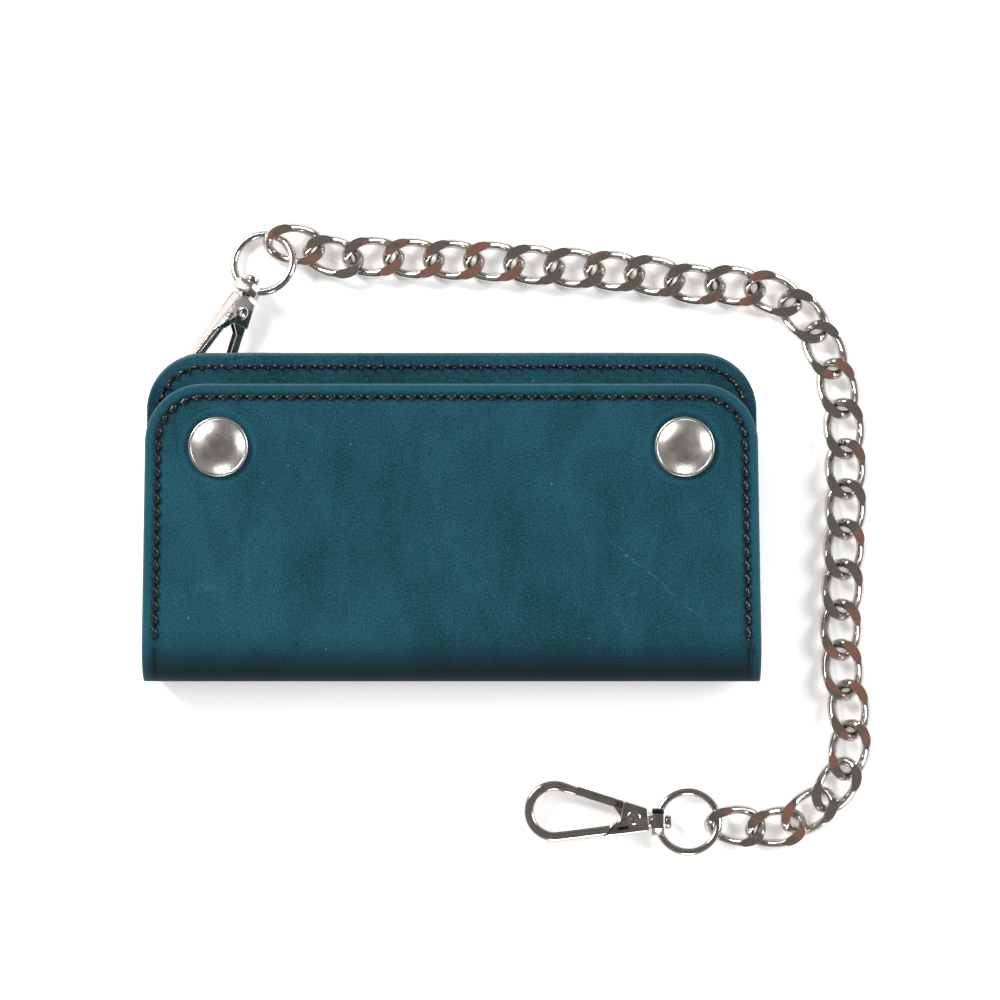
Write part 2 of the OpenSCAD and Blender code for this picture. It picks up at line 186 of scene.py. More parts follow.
class Shell:
    """Grids of points that are welded into one mesh. Each may carry values and a material number."""

    def __init__(self):
        self.points, self.faces, self.materials, self.values, self.count = [], [], [], {}, 0

    def add(self, points, wrap_rows=False, wrap_cols=False, material=0, **values):
        """One more grid of points. Ends that stay open are closed when the mesh is built."""
        rows, cols = points.shape[:2]
        quads = grid_faces(rows, cols, wrap_rows, wrap_cols, self.count).tolist()
        self.faces += quads
        self.materials += [material] * len(quads)
        self.points.append(points.reshape(-1, 3))
        for name, value in values.items():
            self.values.setdefault(name, []).append((self.count, np.asarray(value, float)))
        self.count += rows * cols
        return self

    def build(self, name, where, materials, crease=40):
        """The mesh, welded, facing outwards, smooth but for creases above an angle in degrees."""
        mesh = bpy.data.meshes.new(name)
        mesh.from_pydata((place(np.vstack(self.points), where) * MM).tolist(), [], self.faces)
        for value_name, parts in self.values.items():
            size = parts[0][1].shape[-1] if parts[0][1].ndim > 2 else 1
            full = np.zeros((self.count, size), np.float32)
            for start, value in parts:
                flat = value.reshape(-1, size)
                full[start : start + len(flat)] = flat
            kind = "FLOAT_VECTOR" if size == 3 else "FLOAT"
            field = "vector" if size == 3 else "value"
            mesh.attributes.new(value_name, kind, "POINT").data.foreach_set(field, full.ravel())
        for material in materials:
            mesh.materials.append(material)
        mesh.polygons.foreach_set("material_index", self.materials)
        work = bmesh.new()
        work.from_mesh(mesh)
        bmesh.ops.remove_doubles(work, verts=work.verts, dist=2e-7)
        bmesh.ops.holes_fill(work, edges=[e for e in work.edges if e.is_boundary], sides=0)
        bmesh.ops.recalc_face_normals(work, faces=work.faces)
        work.to_mesh(mesh)
        work.free()
        mesh.shade_smooth()
        mesh.set_sharp_from_angle(angle=np.radians(crease))
        piece = bpy.data.objects.new(name, mesh)
        bpy.context.scene.collection.objects.link(piece)
        return piece


def turned(profile, steps=64):
    """A profile of (radius, height) points turned about z, with its ends closed at the axis."""
    profile = np.array(profile, float)
    angle = np.linspace(0, TAU, steps, endpoint=False)
    r, z = profile[:, :1], profile[:, 1:]
    return np.stack([r * np.cos(angle), r * np.sin(angle), z + 0 * angle], -1)


def rounded(corners, radii, steps=8):
    """A closed outline with an arc in place of each corner.

    Each arc touches both of its sides: its centre lies on the corner's bisector, at the radius over
    the sine of half the corner's angle.
    """
    corners = np.array(corners, float)
    radii = np.broadcast_to(radii, len(corners))
    before = unit(np.roll(corners, 1, 0) - corners)
    after = unit(np.roll(corners, -1, 0) - corners)
    half = np.arccos(np.clip((before * after).sum(1), -1, 1)) / 2
    centre = corners + unit(before + after) * (radii / np.sin(half))[:, None]
    start = corners + before * (radii / np.tan(half))[:, None] - centre
    end = corners + after * (radii / np.tan(half))[:, None] - centre
    a0, a1 = np.arctan2(start[:, 1], start[:, 0]), np.arctan2(end[:, 1], end[:, 0])
    turn = (a1 - a0 + np.pi) % TAU - np.pi
    angle = a0[:, None] + turn[:, None] * np.linspace(0, 1, steps)
    arc = centre[:, None] + radii[:, None, None] * np.stack([np.cos(angle), np.sin(angle)], -1)
    return arc.reshape(-1, 2)


def inward(outline):
    """The unit normals of a closed outline that point into it."""
    along = unit(np.roll(outline, -1, 0) - np.roll(outline, 1, 0))
    x, y = outline.T
    side = np.sign((x * np.roll(y, -1) - y * np.roll(x, -1)).sum())
    return side * np.stack([-along[:, 1], along[:, 0]], 1)


def plate(outline, low, high, edge):
    """A flat piece of a given outline: rows at several heights, drawn in at both rims to round them."""
    normal = inward(outline)
    bend = np.radians([0, 30, 60, 90])
    rise, draw = edge * (1 - np.sin(bend)), edge * (1 - np.cos(bend))
    levels = [(low + a, b) for a, b in zip(rise[::-1], draw[::-1])]
    levels += [(high - a, b) for a, b in zip(rise, draw)]
    return np.stack([np.column_stack([outline + normal * b, np.full(len(outline), z)])
                     for z, b in levels])


def carried(path, section, side):
    """A section carried along a path: x of the section goes along side, y along the path's normal."""
    along = unit(np.gradient(path, axis=0))
    up = unit(np.cross(along, side))
    across = np.cross(up, along)
    section = np.broadcast_to(section, (len(path),) + section.shape[-2:])
    return (path[:, None] + section[..., :1] * across[:, None] + section[..., 1:] * up[:, None])


def round_wire(radius, steps=20):
    """A wire's section: cosine and sine of one turn, times the radius."""
    a = np.linspace(0, TAU, steps, endpoint=False)
    return radius * np.stack([np.cos(a), np.sin(a)], 1)


def ease(value, low, high):
    """0 below low, 1 above high, and a smooth rise between."""
    t = np.clip((value - low) / (high - low), 0, 1)
    return t * t * (3 - 2 * t)


# ---- shader making ----
def add(tree, kind, inputs=None, **settings):
    """A shader node with its settings, and its inputs either set or joined to another's output."""
    made = tree.nodes.new("ShaderNode" + kind)
    for key, value in settings.items():
        setattr(made, key, value)
    for key, value in (inputs or {}).items():
        if isinstance(value, bpy.types.NodeSocket):
            tree.links.new(value, made.inputs[key])
        else:
            made.inputs[key].default_value = value
    return made


def calc(tree, operation, a, b=0.0):
    """One Math node."""
    return add(tree, "Math", {0: a, 1: b}, operation=operation).outputs[0]


def times(tree, a, b):
    """a times b."""
    return calc(tree, "MULTIPLY", a, b)


def plus(tree, a, b):
    """a plus b."""
    return calc(tree, "ADD", a, b)


def minus(tree, a, b):
    """a less b."""
    return calc(tree, "SUBTRACT", a, b)


def distance(tree, a, b):
    """How long the slope of a right triangle is."""
    return calc(tree, "SQRT", plus(tree, times(tree, a, a), times(tree, b, b)))


def fade(tree, value, low, high, start=0.0, end=1.0):
    """A smooth change from start to end as value goes from low to high."""
    return add(tree, "MapRange", {"Value": value, "From Min": low, "From Max": high,
                                  "To Min": start, "To Max": end},
               interpolation_type="SMOOTHSTEP").outputs[0]


def blend(tree, factor, a, b, mode="MIX"):
    """Two colours mixed."""
    return add(tree, "Mix", {0: factor, 6: a, 7: b}, data_type="RGBA", blend_type=mode).outputs[2]


def grain(tree, coords, scale, detail=3.0, rough=0.55, stretch=(1, 1, 1), warp=0.0):
    """Noise of a given number of features to the metre, between 0 and 1."""
    if stretch != (1, 1, 1):
        coords = add(tree, "Mapping", {"Vector": coords, "Scale": stretch}).outputs[0]
    return add(tree, "TexNoise", {"Vector": coords, "Scale": scale, "Detail": detail,
                                  "Roughness": rough, "Distortion": warp}).outputs[0]


def cells(tree, coords, scale, output="Distance", feature="F1"):
    """Scattered cells of a given number to the metre."""
    return add(tree, "TexVoronoi", {"Vector": coords, "Scale": scale}, feature=feature).outputs[output]


def bumped(tree, *heights):
    """A chain of Bump nodes: each height comes with its strength and its depth in metres."""
    normal = None
    for height, strength, depth in heights:
        inputs = {"Height": height, "Strength": strength, "Distance": depth}
        if normal is not None:
            inputs["Normal"] = normal
        normal = add(tree, "Bump", inputs).outputs[0]
    return normal


def new_material(name, **constants):
    """A material with one Principled shader, whose constant sockets are set here."""
    material = bpy.data.materials.new(name)
    material.use_nodes = True
    tree = material.node_tree
    shader = tree.nodes["Principled BSDF"]
    for key, value in constants.items():
        shader.inputs[key.replace("_", " ")].default_value = value
    return material, tree, shader


def join(tree, shader, **sockets):
    """Joins outputs to the shader's sockets."""
    for key, output in sockets.items():
        tree.links.new(output, shader.inputs[key.replace("_", " ")])


def rgba(colour, k=1.0):
    """A colour with its alpha, made k times as bright."""
    return (colour[0] * k, colour[1] * k, colour[2] * k, 1.0)


def object_coords(tree):
    """The piece's own coordinates, which are the model's, in metres."""
    return add(tree, "TexCoord").outputs["Object"]


def hide_shader(tree, coords, deep, light):
    """Pull-up leather's colour, roughness and nap: broad clouds, rubbed patches, pores and specks."""
    clouds = grain(tree, coords, 14, 5, 0.6, warp=0.6)
    patches = grain(tree, coords, 60, 5, 0.65, (1, 0.45, 1), warp=0.4)
    nap = grain(tree, coords, 1700, 3, 0.75)
    tone = plus(tree, times(tree, clouds, 0.5), times(tree, patches, 0.5))
    colour = blend(tree, fade(tree, tone, 0.38, 0.62), rgba(deep), rgba(light))
    colour = blend(tree, fade(tree, nap, 0.48, 0.70, 0.0, 0.6), colour, rgba(light, 1.8))
    colour = blend(tree, fade(tree, nap, 0.35, 0.50, 0.6, 0.0), colour, rgba(deep, 0.5))
    rub = times(tree, fade(tree, grain(tree, coords, 22, 6, 0.7, warp=1.5), 0.55, 0.75),
               fade(tree, grain(tree, coords, 260, 4, 0.7), 0.42, 0.7))
    colour = blend(tree, times(tree, rub, 0.6), colour, rgba(light, 2.1))
    speck = fade(tree, cells(tree, coords, 260), 0.05, 0.1, 1.0, 0.0)
    chosen = add(tree, "SeparateColor", {0: cells(tree, coords, 260, "Color")}).outputs
    pale = times(tree, speck, calc(tree, "GREATER_THAN", chosen[0], 0.94))
    dark = times(tree, speck, calc(tree, "LESS_THAN", chosen[0], 0.16))
    colour = blend(tree, times(tree, pale, 0.5), colour, (0.20, 0.30, 0.32, 1))
    colour = blend(tree, times(tree, dark, 0.6), colour, rgba(deep, 0.35))
    rough = fade(tree, plus(tree, nap, times(tree, rub, 0.3)), 0.2, 1.0, 0.52, 0.84)
    pores = fade(tree, cells(tree, coords, 1500), 0.0, 0.5)
    return colour, rough, nap, pores


def cover_leather(look):
    """The cover's leather: the hide, painted shade at the fold and in the seam, rubbed rim, seam's puckers
    and one long scratch.
    """
    material, tree, shader = new_material("cover_leather", Specular_IOR_Level=0.08)
    flat = add(tree, "Attribute", attribute_name="flat").outputs["Vector"]
    seam = add(tree, "Attribute", attribute_name="seam").outputs["Vector"]
    seam = add(tree, "SeparateXYZ", {0: seam})
    x, v, _ = add(tree, "SeparateXYZ", {0: flat}).outputs
    colour, rough, nap, pores = hide_shader(tree, flat, look.deep, look.light)
    # painted shade at the fold: darker towards the fold, where the leather curves away from the light
    wander = times(tree, grain(tree, flat, 50, 3), 0.005)
    from_fold = plus(tree, calc(tree, "ABSOLUTE", v), wander)
    painted_fold_shade = fade(tree, from_fold, 0.009, 0.027, look.fold_shade_strength, 0.0)
    colour = blend(tree, painted_fold_shade, colour, rgba(look.deep, 0.22))
    # the rim is burnished paler
    rim = plus(tree, seam.outputs[1], times(tree, grain(tree, flat, 700, 3), 0.0006))
    colour = blend(tree, fade(tree, rim, 0.0006, 0.0042, 0.42, 0.0), colour, rgba(look.light, 1.45))
    colour = blend(tree, fade(tree, rim, 0.00035, 0.0011, 0.7, 0.0), colour, rgba(look.raw))
    # needle holes, and the leather drawn down between them; both darkened by painted shade
    along = calc(tree, "PINGPONG", seam.outputs[0], look.stitch_pitch / 2)
    off = minus(tree, seam.outputs[1], look.seam_inset)
    away = distance(tree, along, off)
    hole = fade(tree, away, 0.0004, 0.0009, 1.0, 0.0)
    # painted shade in the needle holes
    colour = blend(tree, times(tree, hole, 0.85), colour, rgba(look.deep, 0.12))
    seam_groove = fade(tree, calc(tree, "ABSOLUTE", off), 0.0006, 0.0022, 1.0, 0.0)
    # painted shade along the sunk seam
    colour = blend(tree, times(tree, seam_groove, 0.35), colour, rgba(look.deep, 0.5))
    # the ring that the press left round each cap
    dx = minus(tree, calc(tree, "ABSOLUTE", x), look.cap_x)
    dy = minus(tree, v, cap_v(look))
    cap = distance(tree, dx, dy)
    press = times(tree, fade(tree, cap, 0.0098, 0.0112),
                  fade(tree, cap, 0.0112, 0.0124, 1.0, 0.0))
    colour = blend(tree, times(tree, press, 0.28), colour, rgba(look.light, 1.5))
    # one scratch, running down towards the fold
    bend = times(tree, minus(tree, grain(tree, flat, 30, 2), 0.5), 0.006)
    run = plus(tree, times(tree, x, 0.76), times(tree, v, -0.65))
    line = plus(tree, times(tree, x, 0.65), times(tree, v, 0.76))
    line = plus(tree, minus(tree, line, look.scratch_at), bend)
    scratch = times(tree, fade(tree, calc(tree, "ABSOLUTE", line), 0.0001, 0.0005, 1.0, 0.0),
                   fade(tree, run, -0.002, 0.012))
    scratch = times(tree, scratch, fade(tree, grain(tree, flat, 400, 3), 0.4, 0.6))
    scratch = times(tree, scratch, fade(tree, run, 0.030, 0.052, 1.0, 0.0))
    colour = blend(tree, times(tree, scratch, 0.4), colour, rgba(look.light, 2.6))
    dip = fade(tree, cap, 0.0085, 0.0118)
    normal = bumped(tree, (dip, 0.6, 0.0003), (seam_groove, -0.5, 0.0002), (hole, -0.9, 0.0005),
                    (pores, 0.22, 0.00006), (nap, 0.35, 0.00008))
    join(tree, shader, Base_Color=colour, Roughness=rough, Normal=normal)
    return material


def raw_edge(look):
    """A cut edge: undyed fibre, streaked along the cut, with dye that has bled in from the face."""
    material, tree, shader = new_material("raw_edge", Specular_IOR_Level=0.2)
    coords = object_coords(tree)
    fibre = grain(tree, coords, 900, 4, 0.7, (0.3, 0.3, 2.4))
    bleed = grain(tree, coords, 220, 4, 0.6)
    colour = blend(tree, fade(tree, fibre, 0.3, 0.7), rgba(look.raw, 0.55), rgba(look.raw, 1.25))
    colour = blend(tree, fade(tree, bleed, 0.4, 0.65), colour, rgba(look.deep, 1.1))
    join(tree, shader, Base_Color=colour, Roughness=fade(tree, fibre, 0.2, 0.9, 0.7, 0.95),
         Normal=bumped(tree, (fibre, 0.6, 0.00015)))
    return material


def plain_leather(name, look, k):
    """Leather of the inside and the tab: the same hide, k times as bright, on its own coordinates."""
    material, tree, shader = new_material(name, Specular_IOR_Level=0.15)
    coords = object_coords(tree)
    colour, rough, nap, pores = hide_shader(tree, coords, [c * k for c in look.deep],
                                            [c * k for c in look.light])
    join(tree, shader, Base_Color=colour, Roughness=rough,
         Normal=bumped(tree, (pores, 0.3, 0.00008), (nap, 0.3, 0.00008)))
    return material


def waxed_thread(look):
    """Black waxed thread: fine fibre along the lay, with pale wax rubbed on the crowns."""
    material, tree, shader = new_material("waxed_thread", Specular_IOR_Level=0.45)
    coords = object_coords(tree)
    fibre = grain(tree, coords, 3500, 3, 0.7)
    wax = fade(tree, grain(tree, coords, 700, 3, 0.6), 0.56, 0.74)
    colour = blend(tree, fibre, rgba(look.thread, 0.4), rgba(look.thread, 1.2))
    colour = blend(tree, times(tree, wax, 0.35), colour, (0.10, 0.13, 0.14, 1))
    join(tree, shader, Base_Color=colour, Roughness=fade(tree, fibre, 0.2, 0.9, 0.22, 0.42),
         Normal=bumped(tree, (fibre, 0.5, 0.00005)))
    return material


def plated(name, look, shine, scratches=1.0, filed=False):
    """Nickel plate: warm grey metal with a cast or drawn ripple, hairlines and duller patches.

    A filed piece has an attribute that is 1 on the faces filed flat, which are duller and streaked,
    with copper-pink patches here and there: a painted reflection of something warm.
    """
    material, tree, shader = new_material(name, Metallic=1.0)
    coords = object_coords(tree)
    ripple = grain(tree, coords, 190, 2, 0.5)
    hair = grain(tree, coords, 500, 4, 0.7, (0.25, 5, 1.5))
    cloud = grain(tree, coords, 330, 4, 0.65)
    fine = grain(tree, coords, 4200, 2, 0.6)
    colour = blend(tree, cloud, rgba(look.nickel, 0.86), rgba(look.nickel, 1.06))
    rough = fade(tree, plus(tree, cloud, times(tree, hair, 0.6 * scratches)),
                 0.3, 1.3, shine, shine + 0.12)
    heights = [(ripple, 0.35, 0.0003), (hair, 0.18 * scratches, 0.00005)]
    if filed:
        on_flat = add(tree, "Attribute", attribute_name="filed").outputs["Fac"]
        streak = grain(tree, coords, 900, 3, 0.7, (0.5, 3.0, 1))
        dull = blend(tree, streak, rgba(look.nickel, 0.7), rgba(look.nickel, 1.25))
        # copper-pink patches on the filed flats: a painted reflection of something warm
        painted_copper_reflection = fade(tree, plus(tree, grain(tree, coords, 75, 1), times(tree, cloud, 0.12)),
                    0.57, 0.64)
        dull = blend(tree, painted_copper_reflection, dull, (1.0, 0.56, 0.45, 1))
        colour = blend(tree, on_flat, colour, dull)
        rough = plus(tree, rough, times(tree, on_flat, 0.03))
        heights.append((times(tree, on_flat, streak), 0.35, 0.00008))
    else:
        heights.append((fine, 0.12, 0.00003))
    join(tree, shader, Base_Color=colour, Roughness=rough, Normal=bumped(tree, *heights))
    return material


def satin_nickel(look):
    """The caps' bead-blasted nickel: a fine even tooth over the metal, rubbed brighter in places."""
    material, tree, shader = new_material("satin_nickel", Metallic=1.0)
    coords = object_coords(tree)
    tooth = grain(tree, coords, 5200, 2, 0.7)
    rub = grain(tree, coords, 240, 5, 0.6)
    colour = blend(tree, tooth, rgba(look.nickel, 0.72), rgba(look.nickel, 1.08))
    join(tree, shader, Base_Color=colour, Roughness=fade(tree, rub, 0.25, 0.75, 0.27, 0.4),
         Normal=bumped(tree, (rub, 0.15, 0.0001), (tooth, 0.45, 0.00005)))
    return material


def brass_teeth():
    """The zip's antique brass, dark in its hollows."""
    material, tree, shader = new_material("antique_brass", Metallic=1.0)
    coords = object_coords(tree)
    age = grain(tree, coords, 900, 4, 0.6)
    colour = blend(tree, fade(tree, age, 0.35, 0.65), (0.16, 0.11, 0.05, 1), (0.62, 0.47, 0.24, 1))
    join(tree, shader, Base_Color=colour, Roughness=fade(tree, age, 0.2, 0.8, 0.5, 0.28),
         Normal=bumped(tree, (age, 0.3, 0.0001)))
    return material


def zip_cloth():
    """The zip's woven tape: a herringbone from two crossed waves."""
    material, tree, shader = new_material("zip_cloth", Specular_IOR_Level=0.3, Sheen_Weight=0.3)
    coords = object_coords(tree)
    warp, weft = [add(tree, "TexWave", {"Vector": coords, "Scale": 900.0, "Distortion": 0.6},
                      bands_direction=way) for way in "XY"]
    weave = times(tree, warp.outputs[1], weft.outputs[1])
    colour = blend(tree, weave, (0.006, 0.006, 0.008, 1), (0.035, 0.036, 0.042, 1))
    join(tree, shader, Base_Color=colour, Roughness=fade(tree, weave, 0.0, 1.0, 0.95, 0.75),
         Normal=bumped(tree, (weave, 0.7, 0.0002)))
    return material


# ---- leather panels ----
SIDE_STEPS, ARC_STEPS, TOP_STEPS, FOLD_STEPS = 36, 22, 90, 49
FLAT_INSET = 14.0
SEAM_START = 3.0


def border(length, inset, look):
    """A panel's outline, a given distance inside its edge, from one end of the fold to the other.

    The sides close in a little towards the top, and a quarter circle joins each to the top edge.
    """
    r, half_top, half_fold = look.corner_r / MM, look.top_w / MM / 2, FOLD_W / 2
    y = np.linspace(0, length - r, SIDE_STEPS)
    x = half_fold + (half_top - half_fold) * y / (length - r) - inset
    a = np.linspace(0, np.pi / 2, ARC_STEPS + 1)[1:]
    arc = np.stack([r - half_top - (r - inset) * np.cos(a), length - r + (r - inset) * np.sin(a)], 1)
    left = np.vstack([np.stack([-x, y], 1), arc])
    across = np.linspace(r - half_top, half_top - r, TOP_STEPS)[1:-1]
    top = np.stack([across, np.full(len(across), length - inset)], 1)
    return np.vstack([left, top, left[::-1] * [-1, 1]])


def seam_sizes(length, look):
    """The seam's straight side, its corner's arc, the whole length and one stitch's share of it."""
    side = length - look.corner_r / MM - SEAM_START
    arc = np.pi / 2 * (look.corner_r - look.seam_inset) / MM
    total = 2 * (side + arc) + look.top_w / MM - 2 * look.corner_r / MM
    return side, arc, total, total / round(total / (look.stitch_pitch / MM))


def seam_run(length, look):
    """How far along the seam, from the nearer end, each point is: a stitch's length for each stitch."""
    side, arc, total, step = seam_sizes(length, look)
    y = np.linspace(0, side + SEAM_START, SIDE_STEPS) - SEAM_START
    left = np.concatenate([y, side + arc * np.linspace(0, 1, ARC_STEPS + 1)[1:]])
    across = side + arc + np.linspace(0, total - 2 * (side + arc), TOP_STEPS)[1:-1]
    run = np.concatenate([left, np.minimum(across, total - across), left[::-1]])
    return run / step * look.stitch_pitch


def from_edge(x, y, length, look):
    """How far inside the edge a point is: the least distance to a side, the top or a corner's arc."""
    r, half = look.corner_r / MM, look.top_w / MM / 2
    dx, dy = np.abs(x) - (half - r), y - (length - r)
    near = np.minimum(half - np.abs(x), length - y)
    return np.where((dx > 0) & (dy > 0), r - np.hypot(dx, dy), near)


def sway(x, y):
    """The leather's slow rise and fall, which is nothing at the fold."""
    wave = 0.6 * np.sin(x / 31 + 0.7) * np.cos(y / 27) + 0.4 * np.sin(x / 13 - y / 19)
    return 0.22 * wave * ease(y, 2, 30)


class Layer:
    """One layer of the cover or the lining: how deep it lies, how thick it is and how it is edged."""

    def __init__(self, look, depth, thick, margin, edge, groove):
        self.look, self.depth, self.thick, self.margin = look, depth, thick, margin
        outer = np.array([14, 10.5, 8, 6.4, 5.4, 4.9, 4.5, 4.2, 4, 3.8, 3.5, 3.1, 2.6, 1.9, 1.3])
        bend = np.radians([0, 15, 35, 55, 75])
        rim_in, rim_down = edge * (1 - np.sin(bend)), edge * (1 - np.cos(bend))
        bottom = thick - edge * (1 - np.cos(bend[::-1]))
        self.inset = [np.append(outer, rim_in), np.concatenate([rim_in[-1:], [0, 0], rim_in[-1:]]),
                      np.append(rim_in[::-1], outer[::-2])]
        self.down = [np.append(0 * outer, rim_down),
                     np.concatenate([rim_down[-1:], [edge, thick - edge], bottom[:1]]),
                     np.append(bottom, 0 * outer[::-2] + thick)]
        seam_at = (self.inset[0] - look.seam_inset / MM) / 0.75
        self.groove = [groove * np.exp(-seam_at**2), np.zeros(4), 0 * self.inset[2]]

    def panel(self, shell, length, side):
        """A panel's grids: two faces, and a band round them whose rim is rounded and seam is sunk."""
        run = seam_run(length, self.look)
        sink = ease(border(length, 0, self.look)[:, 1], 0, 5)
        arc = np.pi / 2 * FOLD_R
        for k, (insets, downs, grooves) in enumerate(zip(self.inset, self.down, self.groove)):
            xy = np.stack([border(length, i + self.margin, self.look) for i in insets])
            down = downs[:, None] + grooves[:, None] * sink
            self.face(shell, xy, down, side, arc, np.broadcast_to(run, down.shape),
                      np.broadcast_to(insets[:, None], down.shape), k == 1)
        ends = border(length, FLAT_INSET + self.margin, self.look)
        left, across = ends[: SIDE_STEPS + ARC_STEPS], np.linspace(-1, 1, TOP_STEPS)
        x = -left[:, :1] * across
        xy = np.stack([x, np.broadcast_to(left[:, 1:], x.shape)], -1)
        inset = from_edge(x, xy[..., 1], length, self.look)
        for down in (0.0, self.thick):
            self.face(shell, xy, np.full(x.shape, down), side, arc, np.zeros(x.shape), inset, False)

    def face(self, shell, xy, down, side, arc, run, inset, is_rim):
        """One grid of the panel, with its place on the flat hide and on the seam."""
        x, y = xy[..., 0], xy[..., 1]
        z = side * (FOLD_R - self.depth - down) + sway(x, y)
        shell.add(np.stack([x, y, z], -1), material=int(is_rim),
                  flat=np.stack([x, side * (arc + y), down], -1) * MM,
                  seam=np.stack([run, inset * MM, down * MM], -1))

    def spine(self, shell):
        """The fold: the panel's end section, carried round the fold's centre from back to front."""
        across = np.linspace(1, -1, TOP_STEPS) * (FOLD_W / 2 - FLAT_INSET - self.margin)
        inset = np.concatenate(self.inset)
        down = np.concatenate(self.down)
        edge_x = FOLD_W / 2 - self.margin - inset
        x = np.concatenate([across[::-1], edge_x, across, -edge_x[::-1]])
        d = np.concatenate([0 * across, down, 0 * across + self.thick, down[::-1]])
        lo = np.arctan2(-BACK[2, 2], -BACK[1, 2]) % TAU
        hi = np.arctan2(FRONT[2, 2], FRONT[1, 2])
        turn = np.linspace(lo, hi, FOLD_STEPS)[:, None]
        r = FOLD_R - self.depth - d
        points = np.stack([x + 0 * turn, r * np.cos(turn), r * np.sin(turn)], -1)
        v = (np.linspace(-1, 1, FOLD_STEPS) * np.pi / 2 * FOLD_R)[:, None] + 0 * x
        rim = FOLD_W / 2 - np.abs(x)
        shell.add(points, wrap_cols=True, flat=np.stack([x + 0 * v, v, d + 0 * v], -1) * MM,
                  seam=np.stack([-0.02 + 0 * v, (rim + 0 * v) * MM, d * MM + 0 * v], -1))


FOLD = frame_of(X_AXIS, np.array([0, 1.0, 0]), Z_AXIS, FOLD_CENTRE)


def across_fold(piece):
    """Bakes the piece's place into its mesh; it stays where it is made."""
    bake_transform(piece)


def leather_layer(kind, layer, materials):
    """Three pieces of one layer: the back panel, the front panel and the fold between them."""
    for name, where, length, side, body in (("back", BACK, BACK_LEN, -1, "back_panel"),
                                            ("front", FRONT, FRONT_LEN, 1, "front_panel")):
        shell = Shell()
        layer.panel(shell, length, side)
        piece = shell.build(f"{kind}_{name}_leather", where, materials)
        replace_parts(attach(piece, body), f"{kind}_{name}")
    shell = Shell()
    layer.spine(shell)
    piece = shell.build(f"{kind}_fold_leather", FOLD, materials)
    across_fold(piece)


# ---- stitches ----
def seam_at(s, length, look):
    """Where the seam is at a distance s along it, and which way it goes."""
    side, arc, total, _ = seam_sizes(length, look)
    r = look.corner_r / MM
    rs, half = r - look.seam_inset / MM, look.top_w / MM / 2
    back = s > total / 2
    s = np.where(back, total - s, s)
    slope = (FOLD_W / 2 - half) / (length - r)
    y_side = SEAM_START + s
    x_side = look.seam_inset / MM - FOLD_W / 2 + slope * y_side
    a = np.clip((s - side) / rs, 0, np.pi / 2)
    x_arc, y_arc = r - half - rs * np.cos(a), length - r + rs * np.sin(a)
    x_top = r - half + (s - side - arc)
    on_side, on_top = s < side, s > side + arc
    x = np.where(on_side, x_side, np.where(on_top, x_top, x_arc))
    y = np.where(on_side, y_side, np.where(on_top, length - look.seam_inset / MM, y_arc))
    way = np.where(on_side, np.pi / 2, np.where(on_top, 0, np.pi / 2 - a))
    return np.where(back, -x, x), y, np.where(back, -way, way)


def stitch_row(shell, length, look, side, height):
    """Stitches on one face. Each is a two-ply cord: its radius swells twice round, and the swelling
    turns along it. It rises out of one hole, lies over the leather and dives into the next."""
    total, step = seam_sizes(length, look)[2:]
    count = round(total / step)
    x, y, way = seam_at((np.arange(count) + 0.5) * step, length, look)
    rings, sides = 9, 7
    t = np.linspace(0, 1, rings)[:, None]
    a = np.linspace(0, TAU, sides, endpoint=False)
    half_w = look.thread_w / MM / 2
    ply = 1 + 0.17 * np.cos(2 * (a - TAU * 0.9 * t))
    swell = half_w * (0.70 + 0.30 * np.sin(np.pi * t) ** 0.5) * ply
    along = (t - 0.5) * (step * 0.97)
    rise = 0.36 - 1.25 * np.abs(2 * t - 1) ** 4
    out = np.stack([along + 0 * a, swell * np.cos(a), rise + 0.82 * swell * np.sin(a)], -1)
    wobble = np.sin(np.arange(count) * 2.4) * 0.035
    turn = way + side * look.stitch_slant + wobble
    c, s = np.cos(turn)[:, None, None], np.sin(turn)[:, None, None]
    px = x[:, None, None] + c * out[..., 0] - s * out[..., 1]
    py = y[:, None, None] + s * out[..., 0] + c * out[..., 1]
    up = np.sign(height)
    pz = height + up * out[..., 2] + sway(px, py)
    for points in np.stack([px, py, pz], -1):
        shell.add(points, wrap_cols=True)


def thread_tail(shell, look):
    """The cut end of the thread: a thin tapered cord that lies on the leather below the last hole."""
    x, y, _ = seam_at(np.array([seam_sizes(FRONT_LEN, look)[2]]), FRONT_LEN, look)
    t = np.linspace(0, 1, 14)
    height = FOLD_R + 0.25 + 0.25 * t - 0.75 * (1 - t) ** 6 - 0.045 * (4.6 * t - 3) * (t > 0.65)
    path = np.stack([x + 1.2 * np.sin(2.4 * t), y - 4.6 * t,
                     height], -1)
    a = np.linspace(0, TAU, 8, endpoint=False)
    ring = np.stack([np.cos(a), np.sin(a)], -1) * (0.33 - 0.12 * t)[:, None, None]
    shell.add(carried(path, ring, X_AXIS), wrap_cols=True)


# ---- metal ----
def along_x(points):
    """A shape turned about z, laid down along x."""
    return points[..., [2, 0, 1]]


